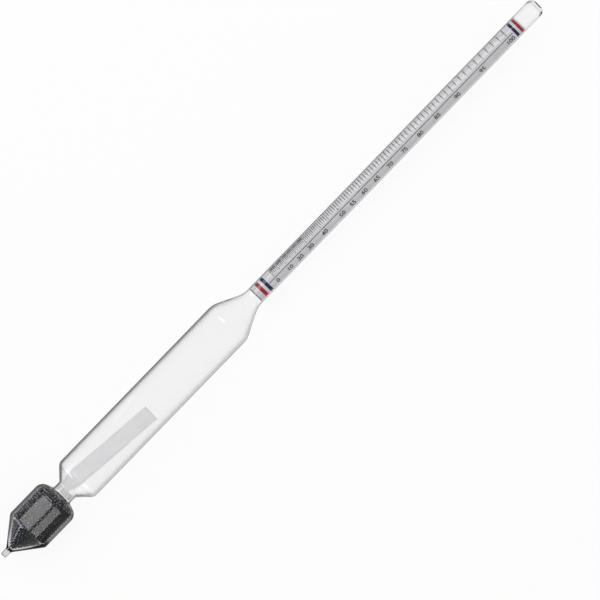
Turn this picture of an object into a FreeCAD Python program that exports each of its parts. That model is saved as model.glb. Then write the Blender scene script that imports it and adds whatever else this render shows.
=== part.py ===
import FreeCAD, Part
import math
import os

# Alcoholometer: a blown glass hydrometer, lying on its side with its axis along X.
# The sealed tip points to -X and the sealed end of the stem to +X. The floor is at Z = 0.
# Every size is in millimetres.

# Lengths of the glass along its axis, from the tip to the end of the stem
TIP_LENGTH = 3.1
BALLAST_CONE_LENGTH = 10.3
BALLAST_LENGTH = 16.5
DOME_RISE = 1.8
NECK_LENGTH = 3.2
FLOAT_CONE_LENGTH = 5.0
FLOAT_LENGTH = 83.0
SHOULDER_LENGTH = 11.3
STEM_LENGTH = 155.8

# Outside diameters of the glass
TIP_DIAMETER = 2.6
BALLAST_DIAMETER = 18.5
NECK_DIAMETER = 8.4
FLOAT_DIAMETER = 18.5
STEM_DIAMETER = 7.3

# Roundings of the glass outside, where the flame softened each change of form
TIP_END_ROUND = 0.6
TIP_ROOT_ROUND = 1.2
CONE_ROUND = 2.0
DOME_ROUND = 4.0
DOME_ROOT_ROUND = 0.7
NECK_ROUND = 0.9
FLOAT_CONE_ROUND = 3.0
SHOULDER_ROUND = 8.6
STEM_ROOT_ROUND = 10.0
STEM_END_ROUND = 2.4

# Glass walls
BALLAST_WALL = 1.2
DOME_WALL = 0.5
NECK_WALL = 0.7
FLOAT_WALL = 0.8
STEM_WALL = 0.4
STEM_END_WALL = 1.0

# Nose of the sealed chamber, in the root of the tip
NOSE_DIAMETER = 1.6
NOSE_ROUND = 0.6

# Paper scale, rolled and sprung open against the bore of the stem
PAPER_FOOT_ABOVE_SHOULDER = 2.7
PAPER_LENGTH = 143.1
PAPER_THICKNESS = 0.10
PAPER_TURN_GAP = 0.05
PAPER_QUARTER_TURNS = 5
PAPER_SEAM_ANGLE = -90.0

# Shot charge in the ballast bulb, with this much left open at the nose and below the neck
SHOT_NOSE_GAP = 1.1
SHOT_NECK_GAP = 0.4

# Knobbly skin of the shot charge, drawn coarser than the real shot
KNOB_ROWS = 22
KNOBS_AROUND = 16
HOLLOW_DEPTH = 0.6

# Paper plug: a slip folded up and wedged in the neck, with its tail lying in the float
PLUG_ABOVE_MOUTH = 0.7
PLUG_LENGTH = 2.5
PLUG_BEVEL = 0.5
TAIL_LENGTH = 44.9
TAIL_WIDTH = 7.0
TAIL_ROOT_DEPTH = 1.2
TAIL_ROOT_WIDTH = 3.0
TAIL_ROOT_GAP = 0.55
TAIL_TAPER_LENGTH = 6.0
TAIL_WALL_GAP = 0.4
TAIL_SWING_ANGLE = 21.5

# A rounding uses at most this share of the run between two corners
ROUNDING_SHARE = 0.5

TIP_RADIUS = TIP_DIAMETER / 2
BALLAST_RADIUS = BALLAST_DIAMETER / 2
NECK_RADIUS = NECK_DIAMETER / 2
FLOAT_RADIUS = FLOAT_DIAMETER / 2
STEM_RADIUS = STEM_DIAMETER / 2
NECK_BORE_RADIUS = NECK_RADIUS - NECK_WALL
FLOAT_BORE_RADIUS = FLOAT_RADIUS - FLOAT_WALL
STEM_BORE_RADIUS = STEM_RADIUS - STEM_WALL

# Places along the axis, counted from the end of the tip
CONE_START = TIP_LENGTH
BALLAST_START = CONE_START + BALLAST_CONE_LENGTH
DOME_START = BALLAST_START + BALLAST_LENGTH
NECK_START = DOME_START + DOME_RISE
NECK_END = NECK_START + NECK_LENGTH
FLOAT_START = NECK_END + FLOAT_CONE_LENGTH
FLOAT_END = FLOAT_START + FLOAT_LENGTH
STEM_START = FLOAT_END + SHOULDER_LENGTH
STEM_END = STEM_START + STEM_LENGTH
PAPER_FOOT = STEM_START + PAPER_FOOT_ABOVE_SHOULDER

# The glass rests on the thicker of its two round bodies
AXIS_HEIGHT = max(BALLAST_RADIUS, FLOAT_RADIUS)
AXIS = FreeCAD.Vector(1, 0, 0)
AXIS_ORIGIN = FreeCAD.Vector(0, 0, 0)


# Profiles: points are (place along the axis, distance from the axis)

def inner_line(start, end, wall):
    """The line from start to end moved by the wall towards the axis."""
    run_x = end[0] - start[0]
    run_r = end[1] - start[1]
    length = math.hypot(run_x, run_r)
    shift_x = run_r / length * wall
    shift_r = -run_x / length * wall
    moved_start = (start[0] + shift_x, start[1] + shift_r)
    moved_end = (end[0] + shift_x, end[1] + shift_r)
    return moved_start, moved_end


def crossing(first, second):
    """The point where two lines meet."""
    (x1, r1), (x2, r2) = first
    (x3, r3), (x4, r4) = second
    slant = (x2 - x1) * (r4 - r3) - (r2 - r1) * (x4 - x3)
    along = ((x3 - x1) * (r4 - r3) - (r3 - r1) * (x4 - x3)) / slant
    return x1 + along * (x2 - x1), r1 + along * (r2 - r1)


def point(corner):
    """A profile corner in the plane of the axis and the floor, so that the turned seam is at the side."""
    return FreeCAD.Vector(corner[0], corner[1], 0)


def softened_profile(corners, bevelled):
    """Straight runs through (place, radius, rounding) corners, with an arc or a bevel at each corner."""
    edges = []
    start = point(corners[0])
    last = len(corners) - 2
    for index in range(1, last + 1):
        corner = point(corners[index])
        to_before = point(corners[index - 1]) - corner
        to_after = point(corners[index + 1]) - corner
        room_before = to_before.Length * (1.0 if index == 1 else ROUNDING_SHARE)
        room_after = to_after.Length * (1.0 if index == last else ROUNDING_SHARE)
        to_before.normalize()
        to_after.normalize()
        half_angle = to_before.getAngle(to_after) / 2
        reach = min(corners[index][2] / math.tan(half_angle), room_before, room_after)
        radius = reach * math.tan(half_angle)
        inwards = (to_before + to_after).normalize()
        arc_start = corner + to_before * reach
        arc_middle = corner + inwards * (radius / math.sin(half_angle) - radius)
        arc_end = corner + to_after * reach
        if start.distanceToPoint(arc_start) > Part.Precision.confusion():
            edges.append(Part.LineSegment(start, arc_start).toShape())
        if bevelled:
            edges.append(Part.LineSegment(arc_start, arc_end).toShape())
        else:
            edges.append(Part.Arc(arc_start, arc_middle, arc_end).toShape())
        start = arc_end
    end = point(corners[-1])
    if start.distanceToPoint(end) > Part.Precision.confusion():
        edges.append(Part.LineSegment(start, end).toShape())
    return edges


def turned(corners, bevelled=False):
    """A solid of revolution whose profile starts and ends on the axis."""
    edges = softened_profile(corners, bevelled)
    edges.append(Part.LineSegment(point(corners[-1]), point(corners[0])).toShape())
    face = Part.Face(Part.Wire(edges))
    return face.revolve(AXIS_ORIGIN, AXIS, 360)


def laid_down(shape):
    """Moves a shape from the tip's own place to its place on the floor, centred in X."""
    shape.translate(FreeCAD.Vector(-STEM_END / 2, 0, AXIS_HEIGHT))
    return shape


# Outer corners of the blown glass
TIP_TOP = (CONE_START, TIP_RADIUS)
BALLAST_LOW = (BALLAST_START, BALLAST_RADIUS)
BALLAST_HIGH = (DOME_START, BALLAST_RADIUS)
NECK_LOW = (NECK_START, NECK_RADIUS)
NECK_HIGH = (NECK_END, NECK_RADIUS)
FLOAT_LOW = (FLOAT_START, FLOAT_RADIUS)
FLOAT_HIGH = (FLOAT_END, FLOAT_RADIUS)
STEM_LOW = (STEM_START, STEM_RADIUS)
STEM_HIGH = (STEM_END, STEM_RADIUS)


# Inner corners: one sealed chamber from the nose through the neck and the float up the stem
CONE_INSIDE = inner_line(TIP_TOP, BALLAST_LOW, BALLAST_WALL)
BALLAST_INSIDE = inner_line(BALLAST_LOW, BALLAST_HIGH, BALLAST_WALL)
DOME_INSIDE = inner_line(BALLAST_HIGH, NECK_LOW, DOME_WALL)
NECK_INSIDE = inner_line(NECK_LOW, NECK_HIGH, NECK_WALL)
FLOAT_CONE_INSIDE = inner_line(NECK_HIGH, FLOAT_LOW, FLOAT_WALL)
FLOAT_INSIDE = inner_line(FLOAT_LOW, FLOAT_HIGH, FLOAT_WALL)
SHOULDER_INSIDE = inner_line(FLOAT_HIGH, STEM_LOW, FLOAT_WALL)
STEM_INSIDE = inner_line(STEM_LOW, STEM_HIGH, STEM_WALL)
NOSE_EDGE = ((0, NOSE_DIAMETER / 2), (STEM_END, NOSE_DIAMETER / 2))
CEILING = STEM_END - STEM_END_WALL
NOSE = crossing(CONE_INSIDE, NOSE_EDGE)
BULB_LOW = crossing(CONE_INSIDE, BALLAST_INSIDE)
BULB_HIGH = crossing(BALLAST_INSIDE, DOME_INSIDE)
NECK_MOUTH = crossing(DOME_INSIDE, NECK_INSIDE)
CHAMBER_CORNERS = [
    (NOSE[0], 0, 0),
    (*NOSE, NOSE_ROUND),
    (*BULB_LOW, CONE_ROUND - BALLAST_WALL),
    (*BULB_HIGH, DOME_ROUND - BALLAST_WALL),
    (*NECK_MOUTH, DOME_ROOT_ROUND + DOME_WALL),
    (*crossing(NECK_INSIDE, FLOAT_CONE_INSIDE), NECK_ROUND + NECK_WALL),
    (*crossing(FLOAT_CONE_INSIDE, FLOAT_INSIDE), FLOAT_CONE_ROUND - FLOAT_WALL),
    (*crossing(FLOAT_INSIDE, SHOULDER_INSIDE), SHOULDER_ROUND - FLOAT_WALL),
    (*crossing(SHOULDER_INSIDE, STEM_INSIDE), STEM_ROOT_ROUND + STEM_WALL),
    (CEILING, STEM_BORE_RADIUS, STEM_END_ROUND - STEM_WALL),
    (CEILING, 0, 0),
]

# Side of the shot charge along the inside of the bulb, from its foot to its level
SHOT_FOOT = NOSE[0] + SHOT_NOSE_GAP
SHOT_LEVEL = NECK_MOUTH[0] - SHOT_NECK_GAP
SHOT_SIDE = [
    (*crossing(CONE_INSIDE, ((SHOT_FOOT, 0), (SHOT_FOOT, BALLAST_RADIUS))), 0),
    (*BULB_LOW, CONE_ROUND - BALLAST_WALL),
    (*BULB_HIGH, DOME_ROUND - BALLAST_WALL),
    (*crossing(DOME_INSIDE, ((SHOT_LEVEL, 0), (SHOT_LEVEL, BALLAST_RADIUS))), 0),
]


# Glass envelope: one blown piece with the chamber sealed inside it
def glass_envelope():
    outside = turned([
        (0, 0, 0),
        (0, TIP_RADIUS, TIP_END_ROUND),
        (*TIP_TOP, TIP_ROOT_ROUND),
        (*BALLAST_LOW, CONE_ROUND),
        (*BALLAST_HIGH, DOME_ROUND),
        (*NECK_LOW, DOME_ROOT_ROUND),
        (*NECK_HIGH, NECK_ROUND),
        (*FLOAT_LOW, FLOAT_CONE_ROUND),
        (*FLOAT_HIGH, SHOULDER_ROUND),
        (*STEM_LOW, STEM_ROOT_ROUND),
        (*STEM_HIGH, STEM_END_ROUND),
        (STEM_END, 0, 0),
    ])
    return laid_down(outside.cut(turned(CHAMBER_CORNERS)))


# Shot charge: the loose shot as one body with a knobbly skin that fills the ballast bulb.
# Each knob is a low pyramid that touches the glass, between the four hollows round it.
def skin_rings():
    """Rings of points round the axis, knobs and hollows by turns; the first and last ring are plain."""
    side = Part.Wire(softened_profile(SHOT_SIDE, bevelled=True)).discretize(KNOB_ROWS)
    columns = 2 * KNOBS_AROUND
    rings = []
    for row, knob in enumerate(side):
        hollow = knob
        if 0 < row < KNOB_ROWS - 1:
            run = side[row + 1] - side[row - 1]
            inwards = FreeCAD.Vector(run.y, -run.x, 0).normalize()
            hollow = knob + inwards * (HOLLOW_DEPTH * knob.y / BALLAST_RADIUS)
        ring = []
        for column in range(columns):
            place = hollow if (row + column) % 2 else knob
            angle = 2 * math.pi * column / columns
            ring.append(FreeCAD.Vector(place.x, place.y * math.cos(angle), place.y * math.sin(angle)))
        rings.append(ring)
    return rings


def flat_face(corners):
    """A plane face through the corners."""
    return Part.Face(Part.makePolygon(corners + corners[:1]))


def ballast_shot():
    rings = skin_rings()
    columns = 2 * KNOBS_AROUND
    faces = [flat_face(rings[0]), flat_face(rings[-1])]
    for row in range(KNOB_ROWS - 1):
        for column in range(columns):
            beside = (column + 1) % columns
            low, low_beside = rings[row][column], rings[row][beside]
            high, high_beside = rings[row + 1][column], rings[row + 1][beside]
            if (row + column) % 2:
                faces.append(flat_face([low, high, high_beside]))
                faces.append(flat_face([low, high_beside, low_beside]))
            else:
                faces.append(flat_face([low, high, low_beside]))
                faces.append(flat_face([high, high_beside, low_beside]))
    skin = Part.makeShell(faces)
    skin.sewShape()
    return laid_down(Part.makeSolid(skin))


# Paper plug: the folded end of the slip wedged in the neck, and the flat tail that droops in the float
def paper_plug():
    foot = NECK_MOUTH[0] + PLUG_ABOVE_MOUTH
    top = foot + PLUG_LENGTH
    wad = turned([
        (foot, 0, 0),
        (foot, NECK_BORE_RADIUS, PLUG_BEVEL),
        (top, NECK_BORE_RADIUS, PLUG_BEVEL),
        (top, 0, 0),
    ], bevelled=True)

    outline = [
        FreeCAD.Vector(0, -TAIL_ROOT_WIDTH / 2, 0),
        FreeCAD.Vector(TAIL_TAPER_LENGTH, -TAIL_WIDTH / 2, 0),
        FreeCAD.Vector(TAIL_LENGTH, -TAIL_WIDTH / 2, 0),
        FreeCAD.Vector(TAIL_LENGTH, TAIL_WIDTH / 2, 0),
        FreeCAD.Vector(TAIL_TAPER_LENGTH, TAIL_WIDTH / 2, 0),
        FreeCAD.Vector(0, TAIL_ROOT_WIDTH / 2, 0),
    ]
    tail = flat_face(outline).extrude(FreeCAD.Vector(0, 0, PAPER_THICKNESS))

    swing = math.radians(TAIL_SWING_ANGLE)
    end_radius = math.sqrt((FLOAT_BORE_RADIUS - TAIL_WALL_GAP) ** 2 - (TAIL_WIDTH / 2) ** 2)
    root_shift = NECK_BORE_RADIUS - TAIL_ROOT_GAP - TAIL_ROOT_WIDTH / 2
    sideways = -end_radius * math.sin(swing) - root_shift
    droop = -end_radius * math.cos(swing)
    reach = math.sqrt(TAIL_LENGTH ** 2 - sideways ** 2 - droop ** 2)
    along = FreeCAD.Vector(reach, sideways, droop)
    across = FreeCAD.Vector(0, math.cos(swing), -math.sin(swing))
    root = FreeCAD.Vector(top - TAIL_ROOT_DEPTH, root_shift, 0)
    turn = FreeCAD.Rotation(along, across, FreeCAD.Vector(), "XYZ")
    tail.Placement = FreeCAD.Placement(root, turn)
    return laid_down(wad.fuse(tail))


# Paper scale: a sheet rolled past one full turn, so that its edges lap along the seam
def paper_scale():
    quarter_drop = (PAPER_THICKNESS + PAPER_TURN_GAP) / 4
    first_angle = math.radians(PAPER_SEAM_ANGLE) - math.pi / 4
    centre = FreeCAD.Vector(PAPER_FOOT, 0, 0)
    outer_radius = STEM_BORE_RADIUS
    outer_arcs = []
    inner_arcs = []

    for quarter in range(PAPER_QUARTER_TURNS):
        angles = [first_angle + (quarter + share) * math.pi / 2 for share in (0, 0.5, 1)]
        rays = [FreeCAD.Vector(0, math.cos(angle), math.sin(angle)) for angle in angles]
        inner_radius = outer_radius - PAPER_THICKNESS
        outer_arcs.append(Part.Arc(*[centre + ray * outer_radius for ray in rays]).toShape())
        inner_arcs.append(Part.Arc(*[centre + ray * inner_radius for ray in rays]).toShape())
        centre = centre + rays[2] * quarter_drop
        outer_radius = outer_radius - quarter_drop

    outer_end = outer_arcs[0].valueAt(outer_arcs[0].FirstParameter)
    inner_end = inner_arcs[0].valueAt(inner_arcs[0].FirstParameter)
    outer_start = outer_arcs[-1].valueAt(outer_arcs[-1].LastParameter)
    inner_start = inner_arcs[-1].valueAt(inner_arcs[-1].LastParameter)
    edges = outer_arcs + inner_arcs
    edges.append(Part.LineSegment(outer_end, inner_end).toShape())
    edges.append(Part.LineSegment(outer_start, inner_start).toShape())
    section = Part.Face(Part.Wire(Part.__sortEdges__(edges)))
    return laid_down(section.extrude(AXIS * PAPER_LENGTH))


NODES = {
    "glass_envelope": glass_envelope,
    "ballast_shot": ballast_shot,
    "paper_plug": paper_plug,
    "paper_scale": paper_scale,
}

os.makedirs("parts", exist_ok=True)
for name, make in NODES.items():
    make().exportStep(os.path.join("parts", name + ".step"))
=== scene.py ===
import bisect
import math
import random
import bmesh
import bpy
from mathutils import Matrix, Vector, noise


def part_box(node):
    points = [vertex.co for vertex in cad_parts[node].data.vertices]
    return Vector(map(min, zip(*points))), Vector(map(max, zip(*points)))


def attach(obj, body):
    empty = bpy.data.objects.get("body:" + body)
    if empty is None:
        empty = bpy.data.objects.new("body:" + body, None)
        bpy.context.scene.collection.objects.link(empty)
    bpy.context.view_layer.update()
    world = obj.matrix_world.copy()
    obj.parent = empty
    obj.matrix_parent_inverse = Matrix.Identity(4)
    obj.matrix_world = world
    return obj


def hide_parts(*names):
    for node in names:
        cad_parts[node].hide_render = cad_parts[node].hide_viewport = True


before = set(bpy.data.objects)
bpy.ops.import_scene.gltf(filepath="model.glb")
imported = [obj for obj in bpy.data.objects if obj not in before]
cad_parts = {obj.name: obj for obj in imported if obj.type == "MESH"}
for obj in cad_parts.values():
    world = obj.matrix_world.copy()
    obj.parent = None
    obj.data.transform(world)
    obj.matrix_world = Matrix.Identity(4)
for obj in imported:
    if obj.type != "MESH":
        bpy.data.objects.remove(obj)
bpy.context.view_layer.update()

# A glass alcoholometer on a white table, seen from straight above.
# Lengths are in metres. The instrument's axis runs along X, from the tip to the end of the stem.

MM = 0.001
rng = random.Random(11)

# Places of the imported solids
GLASS_LOW, GLASS_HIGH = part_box("glass_envelope")
SHOT_LOW, SHOT_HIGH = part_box("ballast_shot")
PLUG_LOW, PLUG_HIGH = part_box("paper_plug")
SCALE_LOW, SCALE_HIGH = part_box("paper_scale")
AXIS_HEIGHT = (GLASS_LOW.z + GLASS_HIGH.z) / 2
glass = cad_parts["glass_envelope"]

# Camera
CAMERA_PLACE = (2.3 * MM, -13.2 * MM, AXIS_HEIGHT + 4000 * MM)
CAMERA_TURN = math.radians(-45.86)
CAMERA_LENS = 636.0
CAMERA_SENSOR = 36.0
CAMERA_NEAR = 0.01

# Colours, from the darker to the lighter patches of each surface
SHOT_COLOURS = ((0.05, 0.05, 0.055), (0.1, 0.1, 0.11))
SCALE_PAPER_COLOURS = ((0.66, 0.65, 0.68), (0.74, 0.73, 0.76))
# The wad's paper is a darker copy of the tail's paper, as painted shade in the folded wad
SHADED_WAD_PAPER_COLOURS = ((0.7, 0.7, 0.71), (0.82, 0.82, 0.83))
FLAT_PAPER_COLOURS = ((0.82, 0.82, 0.83), (0.88, 0.88, 0.89))
BLACK_INK_COLOURS = ((0.02, 0.02, 0.022), (0.07, 0.07, 0.075))
RED_INK_COLOURS = ((0.32, 0.005, 0.025), (0.42, 0.012, 0.04))
BLUE_INK_COLOURS = ((0.003, 0.003, 0.05), (0.008, 0.008, 0.09))
GLASS_INDEX = 1.46
GLASS_SHADE = 0.94
FLOOR_SHADE = 0.92
PATTERN_SPAN = (0.3, 0.7)

# Loose shot
BALL_RADIUS = 0.6 * MM
BALL_PITCH = 1.24 * MM
BALL_WALL_GAP = 0.03 * MM
ROW_SPACING = BALL_PITCH * math.sqrt(3) / 2
LAYER_DEPTH = 1.02 * MM
SECOND_LAYER_TURN = 0.4
BALL_DETAIL = 2
BALL_JITTER = 0.07 * MM
MISSING_SHARE = 0.02
WALL_STEP = 0.05 * MM
NOSE_MARGIN = 0.9 * MM
NECK_MARGIN = 1.0 * MM
PLUG_CLEARANCE = 0.7 * MM

# Rolled paper scale
PAPER_THICKNESS = 0.1 * MM
PAPER_GLASS_GAP = 0.04 * MM
PAPER_DROP_PER_TURN = 0.15 * MM
PAPER_TURNS = 1.25
PAPER_START = math.radians(-135)
PAPER_STEP = math.radians(3)
PAPER_SHARP_ANGLE = math.radians(40)
INK_LIFT = 0.012 * MM

# Print on the scale: places along X, and angles round the axis counted from +Y over the top
FULL_STRENGTH = 100
ZERO_PLACE = 2.0 * MM
FULL_PLACE = 127.9 * MM
BASE_LINE_ANGLE = math.radians(100)
BASE_LINE_WIDTH = 0.26 * MM
BASE_LINE_START = -1.2 * MM
BASE_LINE_END = 130.4 * MM
TICK_WIDTH = 0.3 * MM
TICK_SHARE = 0.42
TICK_START = math.radians(-10)
TICK_ENDS = {10: math.radians(86), 5: math.radians(81), 1: math.radians(76)}

# Below this strength the single ticks start wider, up to an angle
CLOSE_TICKS = 30
CLOSE_TICK_SHARE = 0.75
CLOSE_TICK_END = math.radians(46)

# Numbers and rings on the scale
NUMERAL_HEIGHT = 1.9 * MM
NUMERAL_FONT_SHARE = 0.7
NUMERAL_ANGLE = math.radians(134)
NUMERAL_WEIGHT = 0.03
NUMBERED = (*range(0, 50, 10), *range(50, FULL_STRENGTH + 1, 5))
NUMERAL_SLICE = 0.15 * MM
NUMERAL_SPARE_SLICES = 2
# A thin dark ring of ink at the sheet's lower edge: painted shade at the paper's foot
FOOT_SHADE_RING = (-8.0 * MM, -7.7 * MM)
LOW_RED_RING = (-5.6 * MM, -4.1 * MM)
LOW_BLUE_RING = (-2.9 * MM, -1.5 * MM)
HIGH_BLUE_RING = (130.9 * MM, 132.1 * MM)
HIGH_RED_RING = (133.15 * MM, 134.35 * MM)

# Density of a water and spirit mixture at every tenth of strength, in grams per cubic centimetre
DENSITIES = (0.9982, 0.9847, 0.9736, 0.9625, 0.9480, 0.9302, 0.9091, 0.8855, 0.8593, 0.8292, 0.7893)

# Paper plug
WAD_LENGTH = 2.5 * MM
WAD_GLASS_GAP = 0.08 * MM
WAD_FOLDS = 9
WAD_FOLD_DEPTH = 0.3 * MM
WAD_TWIST = 260.0
WAD_ROWS = 14
WAD_SIDES = 108
WAD_SHARP_ANGLE = math.radians(50)
WAD_ROUGH_ALONG = 900
WAD_ROUGH_AROUND = 2.2
TAIL_END_REACH = 3 * MM
TAIL_ROOT_DEPTH = 1.2 * MM
TAIL_ROOT_SHIFT = 1.45 * MM
TAIL_ROOT_WIDTH = 3.0 * MM
TAIL_TAPER = 0.134
TAIL_CURL = 0.22 * MM
TAIL_CURL_GROWTH = 3
TAIL_WAVE = 0.14 * MM
TAIL_WAVE_ANGLE = 9
TAIL_STEPS = 56
TAIL_STRIPS = 8

# A ray has passed through a hollow of glass, or met a mirror, beyond these counts
HOLLOW_PASSES = 2.5
MIRROR_PASSES = 0.5

# Light of the table and the sky, by the kind of ray that sees them
WHITE_SHARE = 0.9
SKY_LIGHT = 0.72
EDGE_SKY = 0.3
MIRRORED_SKY, MIRRORED_FLOOR = 0.2, 0.12
GLOW_PLACE = (0.62, 0.55, 0.56)
GLOW_ANGLES = (math.radians(37), math.radians(12))
GLOW_SKY = 8.0
FLOOR_SIZE = 6.0

# Levels of the painted shade and painted light that glass edges see on the table, at places along X
EDGE_DARK = {
    -142 * MM: 0.5, -141 * MM: 0.003, -130.5 * MM: 0.003, -129 * MM: 0.2, -114 * MM: 0.2, -95 * MM: 0.4,
    -21 * MM: 0.4, -13 * MM: 0.8, -9 * MM: 0.8, -8 * MM: 0.4, 134 * MM: 0.4, 136 * MM: 0.9}
EDGE_PALE = {
    -142 * MM: 0.6, -141 * MM: 0.2, -116 * MM: 0.2, -108 * MM: 0.72, 134 * MM: 0.72, 136 * MM: 0.9}
EDGE_SPREAD = 12 * MM
EDGE_SIDES = (-6, 1)

# Flat lamps
LAMP_EDGES = {"X": 1 * MM, "Y": 100 * MM}
VIOLET = (0.7, 0.76, 1)
KEY = {"place": (0.08, 0.35, 0.6), "target": (0.08, 0, 0), "size": (0.3, 0.5), "brightness": 3.0}
MIRRORED_LAMPS = {
    "stem_glint": {
        "place": (0.0725, 0.56, 0.6), "target": (0.0725, 0.56, 0), "size": (0.165, 0.87), "brightness": 3.4},
    "veil": {
        "place": (-0.186, 0.592, 0.5), "target": (-0.186, 0.592, -0.5), "size": (0.108, 1.335),
        "brightness": 4.2},
    "veil_low": {
        "place": (-0.186, -0.425, 0.5), "target": (-0.186, -0.425, -0.5), "size": (0.108, 0.67),
        "brightness": 3.2},
    "window": {
        "place": (-0.7, 0.5, 0.25), "target": (-0.13, 0, 0), "size": (0.6, 0.5), "brightness": 9.0,
        "colour": VIOLET},
    "low_card": {
        "place": (-0.2, 0.09, 0.002), "target": (-0.2, 0.09, 1), "size": (0.1, 0.14), "brightness": 2.5,
        "colour": VIOLET},
}


# Helpers

def add_object(name, vertices, faces, material, smooth=True):
    mesh = bpy.data.meshes.new(name)
    mesh.from_pydata(vertices, [], faces)
    mesh.update()
    mesh.materials.append(material)
    if smooth:
        mesh.shade_smooth()
    made = bpy.data.objects.new(name, mesh)
    bpy.context.scene.collection.objects.link(made)
    return made


def on_roll(x, angle, radius):
    """A point at this place along the axis, angle and distance from the axis."""
    return Vector((x, radius * math.cos(angle), AXIS_HEIGHT + radius * math.sin(angle)))


def grey(level):
    return (level, level, level)


class Shader:
    """A material with one main shader, whose plain values are set on its own sockets."""

    def __init__(self, name, **values):
        self.material = bpy.data.materials.new(name)
        self.material.use_nodes = True
        self.tree = self.material.node_tree
        self.main = self.tree.nodes["Principled BSDF"]
        self.output = self.tree.nodes["Material Output"]
        for socket, value in values.items():
            self.main.inputs[socket.replace("_", " ")].default_value = value

    def add(self, kind, **values):
        node = self.tree.nodes.new(kind)
        for socket, value in values.items():
            node.inputs[socket.replace("_", " ")].default_value = value
        return node

    def link(self, source, target):
        self.tree.links.new(source, target)

    def noise(self, scale, stretch=(1, 1, 1), detail=3.0):
        """A noise pattern in metres of the object's own space."""
        place = self.add("ShaderNodeTexCoord")
        mapping = self.add("ShaderNodeMapping", Scale=stretch)
        pattern = self.add("ShaderNodeTexNoise", Scale=scale, Detail=detail)
        self.link(place.outputs["Object"], mapping.inputs["Vector"])
        self.link(mapping.outputs["Vector"], pattern.inputs["Vector"])
        return pattern.outputs["Fac"]

    def ramp(self, factor, low, high, target):
        """Feeds target with colours or levels from low to high over the middle of a pattern."""
        ramp = self.add("ShaderNodeValToRGB")
        for stop, position, colour in zip(ramp.color_ramp.elements, PATTERN_SPAN, (low, high)):
            stop.position = position
            stop.color = (*colour, 1)
        self.link(factor, ramp.inputs["Fac"])
        self.link(ramp.outputs["Color"], self.main.inputs[target])

    def bump(self, height, strength, distance):
        bump = self.add("ShaderNodeBump", Strength=strength, Distance=distance)
        self.link(height, bump.inputs["Height"])
        self.link(bump.outputs["Normal"], self.main.inputs["Normal"])


# Materials

def glass_material():
    """Clear drawn glass: faint lines along the tube, and lamps and soft light pass straight through."""
    white = (*grey(1), 1)
    shader = Shader(
        "clear_glass", Base_Color=white, Roughness=0.0, IOR=GLASS_INDEX, Transmission_Weight=1.0)
    lines = shader.noise(scale=1.0, stretch=(30, 700, 700), detail=1.0)
    shader.bump(lines, strength=0.02, distance=0.1 * MM)
    path = shader.add("ShaderNodeLightPath")
    passing = shader.add("ShaderNodeMath")
    passing.operation = "MAXIMUM"
    clear = shader.add("ShaderNodeBsdfTransparent", Color=(*grey(GLASS_SHADE), 1))
    mix = shader.add("ShaderNodeMixShader")
    shader.link(path.outputs["Is Shadow Ray"], passing.inputs[0])
    shader.link(path.outputs["Is Diffuse Ray"], passing.inputs[1])
    shader.link(passing.outputs["Value"], mix.inputs["Fac"])
    shader.link(shader.main.outputs["BSDF"], mix.inputs[1])
    shader.link(clear.outputs["BSDF"], mix.inputs[2])
    shader.link(mix.outputs["Shader"], shader.output.inputs["Surface"])
    return shader.material


def shot_material():
    """Blackened metal shot, some of it a little brighter and more worn."""
    shader = Shader("dark_shot", Metallic=1.0)
    shader.ramp(shader.noise(scale=750), *SHOT_COLOURS, "Base Color")
    shader.ramp(shader.noise(scale=1100), grey(0.2), grey(0.34), "Roughness")
    shader.bump(shader.noise(scale=5200), strength=0.15, distance=0.02 * MM)
    return shader.material


def paper_material(name, low, high):
    """Plain paper: faint clouds, a fine fibre grain and a dull surface."""
    shader = Shader(name)
    shader.ramp(shader.noise(scale=420, stretch=(0.5, 1, 1)), low, high, "Base Color")
    shader.ramp(shader.noise(scale=900), grey(0.75), grey(0.92), "Roughness")
    shader.bump(shader.noise(scale=3600, stretch=(0.4, 1, 1)), strength=0.35, distance=0.015 * MM)
    return shader.material


def ink_material(name, full, thin):
    """Printing ink that lies a little thinner in places."""
    shader = Shader(name, Specular_IOR_Level=0.1)
    shader.ramp(shader.noise(scale=2600), full, thin, "Base Color")
    shader.ramp(shader.noise(scale=1800), grey(0.4), grey(0.6), "Roughness")
    return shader.material


# Loose shot

def wall_radius(x):
    """How far the inside of the glass is from the axis at x."""
    place = glass.ray_cast(Vector((x, 0, AXIS_HEIGHT)), Vector((0, 1, 0)))[1]
    return place.y


def inset_line(depth):
    """Points (x, radius) that lie this deep inside the bulb's wall, from the nose to the neck."""
    start = SHOT_LOW.x - NOSE_MARGIN
    steps = int((SHOT_HIGH.x + NECK_MARGIN - start) / WALL_STEP)
    wall = [(x, wall_radius(x)) for x in (start + i * WALL_STEP for i in range(steps))]
    line = []
    for (x1, r1), (x, r), (x2, r2) in zip(wall, wall[1:], wall[2:]):
        length = math.hypot(x2 - x1, r2 - r1)
        inside = (x + depth * (r2 - r1) / length, r - depth * (x2 - x1) / length)
        nearest = min(math.dist(inside, other) for other in wall)
        if inside[1] > 0 and nearest > depth - WALL_STEP / 2:
            line.append(inside)
    return line


def spaced(line, spacing):
    """Points at an even spacing along a line."""
    reached = [0.0]
    for here, after in zip(line, line[1:]):
        reached.append(reached[-1] + math.dist(here, after))
    count = int(reached[-1] / spacing)
    return [line[min(bisect.bisect(reached, i * spacing), len(line) - 1)] for i in range(count + 1)]


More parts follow.
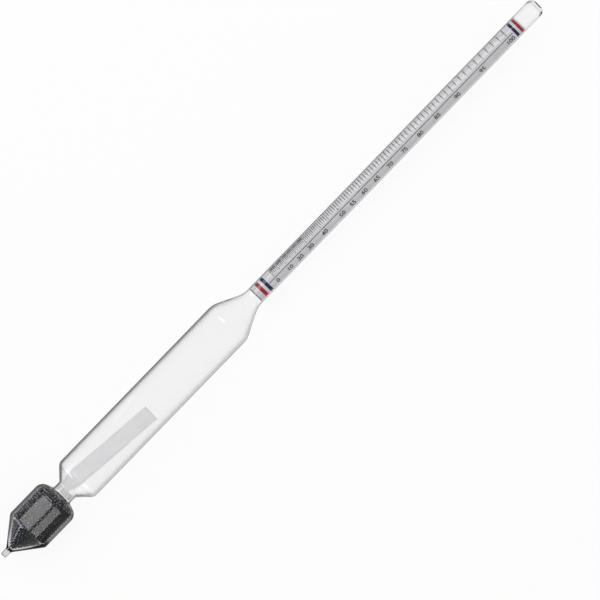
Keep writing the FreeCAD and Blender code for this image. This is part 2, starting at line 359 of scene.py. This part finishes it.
def ball_layer(depth, turn):
    """Centres of one layer of balls, in rings that sit in each other's gaps."""
    centres = []
    plug_reach = PLUG_HIGH.z - AXIS_HEIGHT + PLUG_CLEARANCE
    for row, (x, radius) in enumerate(spaced(inset_line(depth), ROW_SPACING)):
        count = max(1, int(math.tau * radius / BALL_PITCH))
        for i in range(count):
            angle = math.tau * (i + 0.5 * (row % 2)) / count + turn
            shift = [rng.uniform(-BALL_JITTER, BALL_JITTER) for _ in range(2)]
            in_plug = x > PLUG_LOW.x - PLUG_CLEARANCE and radius < plug_reach
            if rng.random() > MISSING_SHARE and not in_plug:
                centres.append(on_roll(x + shift[0], angle + shift[1] / max(radius, BALL_PITCH), radius))
    return centres


def add_shot():
    ball = bmesh.new()
    bmesh.ops.create_icosphere(ball, subdivisions=BALL_DETAIL, radius=BALL_RADIUS)
    corners = [v.co.copy() for v in ball.verts]
    sides = [[v.index for v in f.verts] for f in ball.faces]
    ball.free()
    wall_depth = BALL_RADIUS + BALL_WALL_GAP
    centres = ball_layer(wall_depth, 0.0) + ball_layer(wall_depth + LAYER_DEPTH, SECOND_LAYER_TURN)
    vertices = []
    faces = []
    for centre in centres:
        first = len(vertices)
        vertices += [centre + corner for corner in corners]
        faces += [[first + i for i in side] for side in sides]
    shot = add_object("ballast_balls", vertices, faces, shot_material())
    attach(shot, "root")
    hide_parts("ballast_shot")


# Paper scale

def paper_radius(angle):
    """Outer radius of the rolled sheet, which winds inwards from its outer edge."""
    outer = AXIS_HEIGHT - SCALE_LOW.z - PAPER_GLASS_GAP
    return outer - PAPER_DROP_PER_TURN * (angle - PAPER_START) / math.tau


def add_roll():
    steps = round(PAPER_TURNS * math.tau / PAPER_STEP)
    vertices = []
    faces = []
    for i in range(steps + 1):
        angle = PAPER_START + i * PAPER_STEP
        for radius in (paper_radius(angle), paper_radius(angle) - PAPER_THICKNESS):
            vertices += [on_roll(x, angle, radius) for x in (SCALE_LOW.x, SCALE_HIGH.x)]
    for i in range(steps):
        a, b = 4 * i, 4 * i + 4
        faces += [(a, b, b + 1, a + 1), (a + 2, a + 3, b + 3, b + 2)]
        faces += [(a, a + 2, b + 2, b), (a + 1, b + 1, b + 3, a + 3)]
    faces += [(0, 1, 3, 2), (b, b + 2, b + 3, b + 1)]
    paper = paper_material("scale_paper", *SCALE_PAPER_COLOURS)
    roll = add_object("scale_roll", vertices, faces, paper)
    roll.data.set_sharp_from_angle(angle=PAPER_SHARP_ANGLE)
    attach(roll, "root")
    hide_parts("paper_scale")


def density(percent):
    """A smooth curve through the densities at the tenths."""
    last = len(DENSITIES) - 1
    tenth = min(percent // 10, last - 1)
    share = percent / 10 - tenth
    before, low, high, after = (DENSITIES[min(max(tenth + i, 0), last)] for i in (-1, 0, 1, 2))
    low_slope = (high - before) / (2 if tenth > 0 else 1)
    high_slope = (after - low) / (2 if tenth + 1 < last else 1)
    straight = low + (high - low) * share
    bend = (low_slope - high + low) * (1 - share) - (high_slope - high + low) * share
    return straight + share * (1 - share) * bend


def strength_place(percent):
    """Where the stem floats in a mixture of this strength: the depth goes with one over the density."""
    rise = 1 / density(percent) - 1 / DENSITIES[0]
    return ZERO_PLACE + (FULL_PLACE - ZERO_PLACE) * rise / (1 / DENSITIES[-1] - 1 / DENSITIES[0])


class Print:
    """Ink faces that lie on the rolled sheet."""

    def __init__(self):
        self.vertices = []
        self.faces = []

    def point(self, x, angle):
        self.vertices.append(on_roll(x, angle, paper_radius(angle) + INK_LIFT))
        return len(self.vertices) - 1

    def patch(self, x1, x2, angle1, angle2):
        """A printed area between two places and two angles."""
        steps = max(1, math.ceil(abs(angle2 - angle1) / PAPER_STEP))
        before = None
        for i in range(steps + 1):
            angle = angle1 + (angle2 - angle1) * i / steps
            here = (self.point(x1, angle), self.point(x2, angle))
            if before:
                self.faces.append((before[0], here[0], here[1], before[1]))
            before = here

    def add(self, name, material):
        made = add_object(name, self.vertices, self.faces, material)
        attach(made, "root")


def flat_numeral(text):
    """A number as a flat mesh, cut into thin slices so that it can bend round the roll."""
    curve = bpy.data.curves.new("numeral", "FONT")
    curve.body = text
    curve.size = NUMERAL_HEIGHT / NUMERAL_FONT_SHARE
    curve.offset = NUMERAL_HEIGHT * NUMERAL_WEIGHT
    curve.align_x = "CENTER"
    curve.align_y = "CENTER"
    source = bpy.data.objects.new("numeral", curve)
    flat = bpy.data.meshes.new_from_object(source)
    shape = bmesh.new()
    shape.from_mesh(flat)
    slices = int(NUMERAL_HEIGHT / NUMERAL_SLICE) + NUMERAL_SPARE_SLICES
    for i in range(-slices, slices):
        cut = shape.verts[:] + shape.edges[:] + shape.faces[:]
        bmesh.ops.bisect_plane(shape, geom=cut, plane_co=(0, i * NUMERAL_SLICE, 0), plane_no=(0, 1, 0))
    points = [v.co.copy() for v in shape.verts]
    shape.verts.index_update()
    faces = [[v.index for v in f.verts] for f in shape.faces]
    shape.free()
    bpy.data.objects.remove(source)
    bpy.data.curves.remove(curve)
    bpy.data.meshes.remove(flat)
    return points, faces


def tick_spacing(percent):
    """How far a tick is from the next one, or from the one before at the end of the scale."""
    low = min(percent, FULL_STRENGTH - 1)
    return strength_place(low + 1) - strength_place(low)


def print_ticks(marks):
    for percent in range(FULL_STRENGTH + 1):
        step = next(n for n in TICK_ENDS if percent % n == 0)
        place = strength_place(percent)
        spacing = tick_spacing(percent)
        half = min(TICK_WIDTH, TICK_SHARE * spacing) / 2
        start = TICK_START
        if step == 1 and percent < CLOSE_TICKS:
            start = CLOSE_TICK_END
            wide = CLOSE_TICK_SHARE * spacing / 2
            marks.patch(place - wide, place + wide, TICK_START, start)
        marks.patch(place - half, place + half, start, TICK_ENDS[step])


def print_numbers(marks, radius):
    for percent in NUMBERED:
        points, faces = flat_numeral(str(percent))
        first = len(marks.vertices)
        for point in points:
            marks.point(strength_place(percent) + point.x, NUMERAL_ANGLE - point.y / radius)
        marks.faces += [[first + i for i in face] for face in faces]


def add_marks():
    marks = Print()
    radius = paper_radius(BASE_LINE_ANGLE)
    half = BASE_LINE_WIDTH / radius / 2
    marks.patch(BASE_LINE_START, BASE_LINE_END, BASE_LINE_ANGLE - half, BASE_LINE_ANGLE + half)
    # Painted shade at the paper's foot, as a thin dark ring of ink
    marks.patch(*FOOT_SHADE_RING, PAPER_START, PAPER_START + math.tau)
    print_ticks(marks)
    print_numbers(marks, radius)
    marks.add("scale_marks", ink_material("black_ink", *BLACK_INK_COLOURS))


def add_rings():
    red = ink_material("red_ink", *RED_INK_COLOURS)
    blue = ink_material("blue_ink", *BLUE_INK_COLOURS)
    inks = {"red": (red, LOW_RED_RING, HIGH_RED_RING), "blue": (blue, LOW_BLUE_RING, HIGH_BLUE_RING)}
    for colour, (ink, *rings) in inks.items():
        bands = Print()
        for start, end in rings:
            bands.patch(start, end, PAPER_START, PAPER_START + math.tau)
        bands.add("scale_rings_" + colour, ink)


# Paper plug

def wad_radius(x, angle):
    """The folded paper's outline, creased by its folds and pressed against the neck."""
    full = PLUG_HIGH.z - AXIS_HEIGHT - WAD_GLASS_GAP
    crease = abs(math.sin(WAD_FOLDS / 2 * angle + WAD_TWIST * (x - PLUG_LOW.x)))
    around = (WAD_ROUGH_AROUND * math.cos(angle), WAD_ROUGH_AROUND * math.sin(angle))
    rough = noise.noise(Vector((x * WAD_ROUGH_ALONG, *around)))
    return full - WAD_FOLD_DEPTH * (1 - crease) ** 2 - WAD_FOLD_DEPTH * (0.5 + 0.5 * rough)


def wad_mesh():
    vertices = []
    faces = []
    for row in range(WAD_ROWS + 1):
        x = PLUG_LOW.x + WAD_LENGTH * row / WAD_ROWS
        for side in range(WAD_SIDES):
            angle = math.tau * side / WAD_SIDES
            vertices.append(on_roll(x, angle, wad_radius(x, angle)))
    for row in range(WAD_ROWS):
        for side in range(WAD_SIDES):
            a, b = row * WAD_SIDES + side, row * WAD_SIDES + (side + 1) % WAD_SIDES
            faces.append((a, a + WAD_SIDES, b + WAD_SIDES, b))
    faces.append(list(range(WAD_SIDES)))
    faces.append(list(range(WAD_ROWS * WAD_SIDES, (WAD_ROWS + 1) * WAD_SIDES))[::-1])
    return vertices, faces


def tail_mesh():
    """The slip's free end, a little curled, from the wad to where it lies on the float's wall."""
    corners = [v.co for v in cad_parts["paper_plug"].data.vertices]
    far = [p for p in corners if p.x > PLUG_HIGH.x - TAIL_END_REACH]
    left, right = max(far, key=lambda p: p.y), min(far, key=lambda p: p.y)
    root = Vector((PLUG_LOW.x + WAD_LENGTH - TAIL_ROOT_DEPTH, TAIL_ROOT_SHIFT, AXIS_HEIGHT))
    end = (left + right) / 2
    across = (left - right).normalized()
    up = (end - root).cross(across).normalized()
    full_width = (left - right).length
    vertices = []
    for i in range(TAIL_STEPS + 1):
        share = i / TAIL_STEPS
        width = TAIL_ROOT_WIDTH + (full_width - TAIL_ROOT_WIDTH) * min(1, share / TAIL_TAPER)
        wave = TAIL_WAVE * math.sin(TAIL_WAVE_ANGLE * share) * share * (1 - share) * 4
        for j in range(TAIL_STRIPS + 1):
            side = j / TAIL_STRIPS - 0.5
            lift = wave + TAIL_CURL * (4 * side * side - 0.5) * min(1, TAIL_CURL_GROWTH * share)
            vertices.append(root.lerp(end, share) + across * (side * width) + up * lift)
    row = TAIL_STRIPS + 1
    faces = []
    for i in range(TAIL_STEPS):
        for j in range(TAIL_STRIPS):
            a = i * row + j
            faces.append((a, a + 1, a + row + 1, a + row))
    return vertices, faces


def add_plug():
    # The wad gets a darker copy of the tail's paper, as painted shade
    folded = paper_material("plug_paper_shaded", *SHADED_WAD_PAPER_COLOURS)
    wad = add_object("plug_wad", *wad_mesh(), folded)
    wad.data.set_sharp_from_angle(angle=WAD_SHARP_ANGLE)
    flat = paper_material("plug_paper", *FLAT_PAPER_COLOURS)
    tail = add_object("plug_tail", *tail_mesh(), flat)
    solid = tail.modifiers.new("thickness", "SOLIDIFY")
    solid.thickness = PAPER_THICKNESS
    solid.offset = 0
    for piece in (wad, tail):
        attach(piece, "root")
    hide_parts("paper_plug")
    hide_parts("paper_plug")


# Stage: camera, table and light

def add_camera():
    data = bpy.data.cameras.new("camera")
    data.lens = CAMERA_LENS
    data.sensor_width = CAMERA_SENSOR
    data.clip_start = CAMERA_NEAR
    camera = bpy.data.objects.new("camera", data)
    camera.location = CAMERA_PLACE
    camera.rotation_euler = (0, 0, CAMERA_TURN)
    bpy.context.scene.collection.objects.link(camera)
    bpy.context.scene.camera = camera


def math_node(tree, operation, *inputs):
    node = tree.nodes.new("ShaderNodeMath")
    node.operation = operation
    for socket, value in zip(node.inputs, inputs):
        if isinstance(value, float):
            socket.default_value = value
        else:
            tree.links.new(value, socket)
    return node.outputs["Value"]


def ray_kinds(tree):
    """Which rays see straight or through a hollow of glass, only through a glass edge, or in a mirror.

    The last kind is a mirror that lies behind glass, such as the shot.
    """
    path = tree.nodes.new("ShaderNodeLightPath")
    deep = math_node(tree, "GREATER_THAN", path.outputs["Transmission Depth"], HOLLOW_PASSES)
    shallow = math_node(tree, "SUBTRACT", 1.0, deep)
    thrown_back = math_node(tree, "GREATER_THAN", path.outputs["Glossy Depth"], MIRROR_PASSES)
    through = math_node(tree, "GREATER_THAN", deep, thrown_back)
    seen = math_node(tree, "MAXIMUM", path.outputs["Is Camera Ray"], through)
    edge = math_node(tree, "MULTIPLY", path.outputs["Is Transmission Ray"], shallow)
    mirrored = math_node(tree, "GREATER_THAN", thrown_back, edge)
    inner = math_node(tree, "MULTIPLY", thrown_back, deep)
    return seen, edge, mirrored, inner


def card_level(shader, place, levels):
    """How bright one band of painted shade or painted light on the table is along the instrument, from its
    level at some places.
    """
    along = shader.add("ShaderNodeMapRange")
    for socket, value in zip(along.inputs[1:3], (GLASS_LOW.x, GLASS_HIGH.x)):
        socket.default_value = value
    ramp = shader.add("ShaderNodeValToRGB")
    stops = ramp.color_ramp.elements
    stops.remove(stops[1])
    for i, (x, level) in enumerate(levels.items()):
        share = (x - GLASS_LOW.x) / (GLASS_HIGH.x - GLASS_LOW.x)
        stop = stops.new(share) if i else stops[0]
        stop.position = share
        stop.color = (*grey(level), 1)
    shader.link(place, along.inputs["Value"])
    shader.link(along.outputs["Result"], ramp.inputs["Fac"])
    return ramp.outputs["Color"]


def edge_cards(shader):
    """What glass edges see of the table: painted light on one side of the axis and painted shade on the
    other, in place of a pale and a dark card.
    """
    place = shader.add("ShaderNodeNewGeometry")
    split = shader.add("ShaderNodeSeparateXYZ")
    edge_light_range = shader.add("ShaderNodeMapRange")
    for socket, value in zip(edge_light_range.inputs[1:3], (-EDGE_SPREAD, EDGE_SPREAD)):
        socket.default_value = value
    sides = shader.add("ShaderNodeMapRange")
    for socket, value in zip(sides.inputs[1:5], (SHOT_LOW.x, SHOT_HIGH.x, *EDGE_SIDES)):
        socket.default_value = value
    shader.link(place.outputs["Position"], split.inputs["Vector"])
    shader.link(split.outputs["X"], sides.inputs["Value"])
    shader.link(card_level(shader, split.outputs["X"], EDGE_PALE), edge_light_range.inputs["To Min"])
    shader.link(card_level(shader, split.outputs["X"], EDGE_DARK), edge_light_range.inputs["To Max"])
    across = math_node(shader.tree, "MULTIPLY", split.outputs["Y"], sides.outputs["Result"])
    shader.link(across, edge_light_range.inputs["Value"])
    return edge_light_range.outputs["Result"]


def lit_floor(shader):
    """Mixes the table's own surface with what each kind of ray sees of it."""
    seen, edge, mirrored = ray_kinds(shader.tree)[:3]
    surface = shader.main.outputs["BSDF"]
    shares = (math_node(shader.tree, "MULTIPLY", seen, WHITE_SHARE), edge, mirrored)
    for share, colour in zip(shares, (1.0, edge_cards(shader), MIRRORED_FLOOR)):
        light = shader.add("ShaderNodeEmission")
        mix = shader.add("ShaderNodeMixShader")
        if isinstance(colour, float):
            light.inputs["Strength"].default_value = colour
        else:
            shader.link(colour, light.inputs["Color"])
        shader.link(share, mix.inputs["Fac"])
        shader.link(surface, mix.inputs[1])
        shader.link(light.outputs["Emission"], mix.inputs[2])
        surface = mix.outputs["Shader"]
    shader.link(surface, shader.output.inputs["Surface"])


def add_floor():
    """A white table. Glass edges pick up painted shade and painted light on it, which change sides at the
    bulb.
    """
    half = FLOOR_SIZE / 2
    corners = [(-half, -half, 0), (half, -half, 0), (half, half, 0), (-half, half, 0)]
    shader = Shader("floor", Base_Color=(*grey(FLOOR_SHADE), 1), Roughness=0.9)
    shader.bump(shader.noise(scale=900), strength=0.05, distance=0.05 * MM)
    lit_floor(shader)
    shader.material.cycles.emission_sampling = "NONE"
    add_object("floor", corners, [(0, 1, 2, 3)], shader.material, smooth=False)


def sky_glow(tree):
    """A soft round glow in the sky, for the small lights on the shot."""
    place = tree.nodes.new("ShaderNodeTexCoord")
    nearness = tree.nodes.new("ShaderNodeVectorMath")
    nearness.operation = "DOT_PRODUCT"
    nearness.inputs[1].default_value = Vector(GLOW_PLACE).normalized()
    fade = tree.nodes.new("ShaderNodeMapRange")
    fade.interpolation_type = "SMOOTHSTEP"
    for socket, angle in zip(fade.inputs[1:3], GLOW_ANGLES):
        socket.default_value = math.cos(angle)
    tree.links.new(place.outputs["Generated"], nearness.inputs[0])
    tree.links.new(nearness.outputs["Value"], fade.inputs["Value"])
    return fade.outputs["Result"]


def add_sky():
    """Even white surroundings, white where they are seen and softer as light and in mirrors."""
    world = bpy.data.worlds.new("sky")
    world.use_nodes = True
    tree = world.node_tree
    *kinds, inner = ray_kinds(tree)
    strength = SKY_LIGHT
    for share, level in zip(kinds, (1.0, EDGE_SKY, MIRRORED_SKY)):
        strength = math_node(tree, "MULTIPLY_ADD", share, level - SKY_LIGHT, strength)
    glow = math_node(tree, "MULTIPLY", inner, sky_glow(tree))
    strength = math_node(tree, "MULTIPLY_ADD", glow, GLOW_SKY, strength)
    tree.links.new(strength, tree.nodes["Background"].inputs["Strength"])
    tree.nodes["Background"].inputs["Color"].default_value = (*grey(1), 1)
    bpy.context.scene.world = world


def soften_edges(data):
    """Lets a flat lamp fade out towards its four edges."""
    data.use_nodes = True
    tree = data.node_tree
    place = tree.nodes.new("ShaderNodeNewGeometry")
    split = tree.nodes.new("ShaderNodeSeparateXYZ")
    tree.links.new(place.outputs["Parametric"], split.inputs["Vector"])
    fades = []
    for axis, size in zip("XY", (data.size, data.size_y)):
        fade = tree.nodes.new("ShaderNodeMapRange")
        fade.interpolation_type = "SMOOTHSTEP"
        fade.inputs["From Max"].default_value = LAMP_EDGES[axis] / size
        tree.links.new(math_node(tree, "PINGPONG", split.outputs[axis], 0.5), fade.inputs["Value"])
        fades.append(fade.outputs["Result"])
    tree.links.new(math_node(tree, "MULTIPLY", *fades), tree.nodes["Emission"].inputs["Strength"])


def add_softbox(name, place, target, size, brightness, colour=(1, 1, 1), mirrored=False):
    """A flat lamp that lights dull surfaces, or shows only in shiny ones."""
    data = bpy.data.lights.new(name, "AREA")
    data.shape = "RECTANGLE"
    data.size, data.size_y = size
    soften_edges(data)
    data.energy = brightness * math.pi * size[0] * size[1]
    data.color = colour
    lamp = bpy.data.objects.new(name, data)
    lamp.location = place
    lamp.rotation_euler = (Vector(target) - Vector(place)).to_track_quat("-Z", "Y").to_euler()
    lamp.visible_camera = False
    lamp.visible_transmission = False
    lamp.visible_glossy = mirrored
    lamp.visible_diffuse = not mirrored
    bpy.context.scene.collection.objects.link(lamp)


def add_lights():
    add_softbox("key", **KEY)
    for name, lamp in MIRRORED_LAMPS.items():
        add_softbox(name, **lamp, mirrored=True)


# The instrument

glass.data.materials.clear()
glass.data.materials.append(glass_material())
add_shot()
add_roll()
add_marks()
add_rings()
add_plug()
add_camera()
add_floor()
add_sky()
add_lights()
bpy.context.scene.view_settings.view_transform = "Standard"
